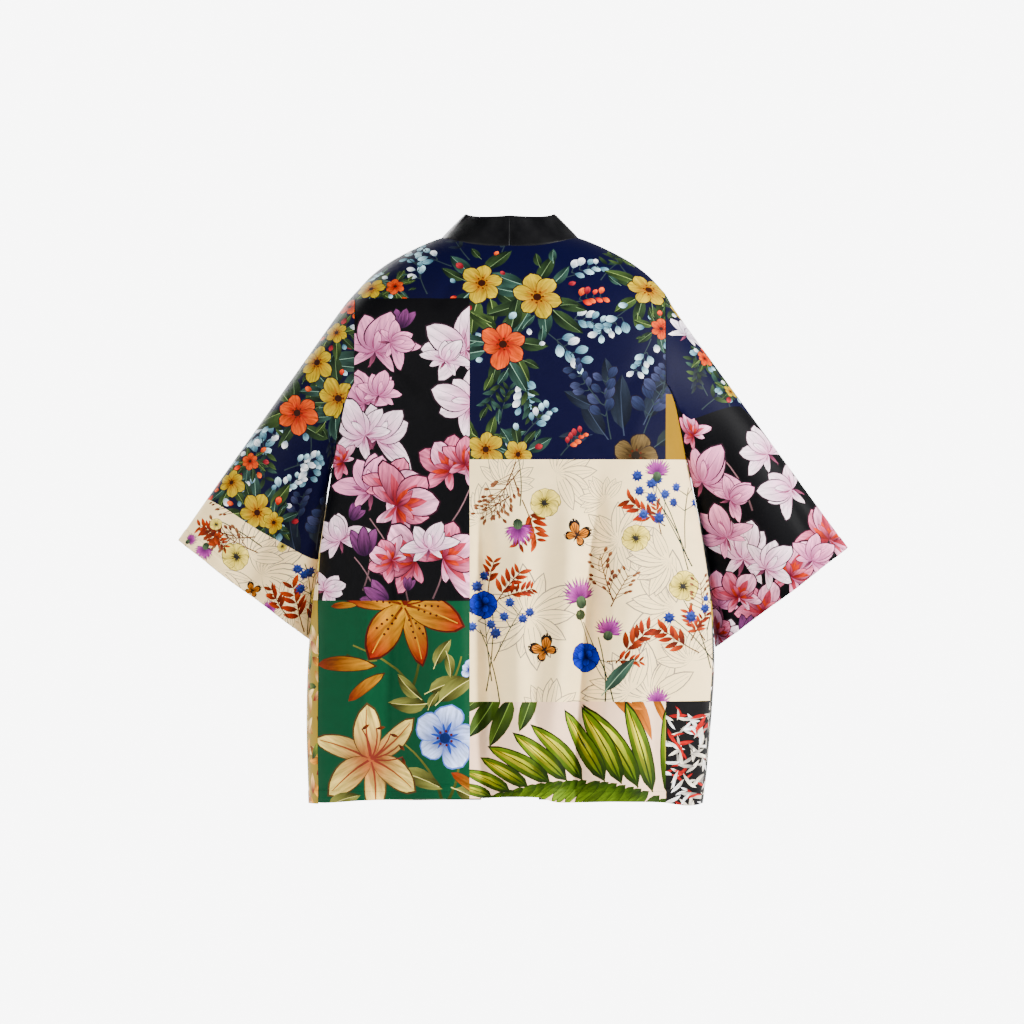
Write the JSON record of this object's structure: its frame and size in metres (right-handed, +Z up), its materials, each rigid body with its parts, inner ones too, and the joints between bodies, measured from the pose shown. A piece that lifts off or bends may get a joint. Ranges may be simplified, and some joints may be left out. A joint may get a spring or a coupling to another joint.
{
  "type": "kimono cardigan",
  "caption": "Open-front kimono cardigan in worn, hollow form, with wide three-quarter sleeves, a dark neckband and a patchwork of flower prints",
  "frame": {"origin": "the middle of the neck opening, level with the back neck seam, where the wearer's neck and shoulders hold it up", "axes": "+Z up, the open front faces -Y, the back faces +Y, +X to the wearer's left, along the span of the sleeves"},
  "size_m": [0.892, 0.2076, 0.7852],
  "materials": {
    "printed_cloth": "smooth lightweight woven cloth with a soft sheen, printed all over",
    "band_satin": "black satin-faced weave, soft sheen"
  },
  "bodies": {
    "root": {"back": "printed_cloth", "front_left": "printed_cloth", "front_right": "printed_cloth", "sleeve_left": "printed_cloth", "sleeve_right": "printed_cloth", "neckband_left": "band_satin", "neckband_right": "band_satin"}
  },
  "joints": []
}
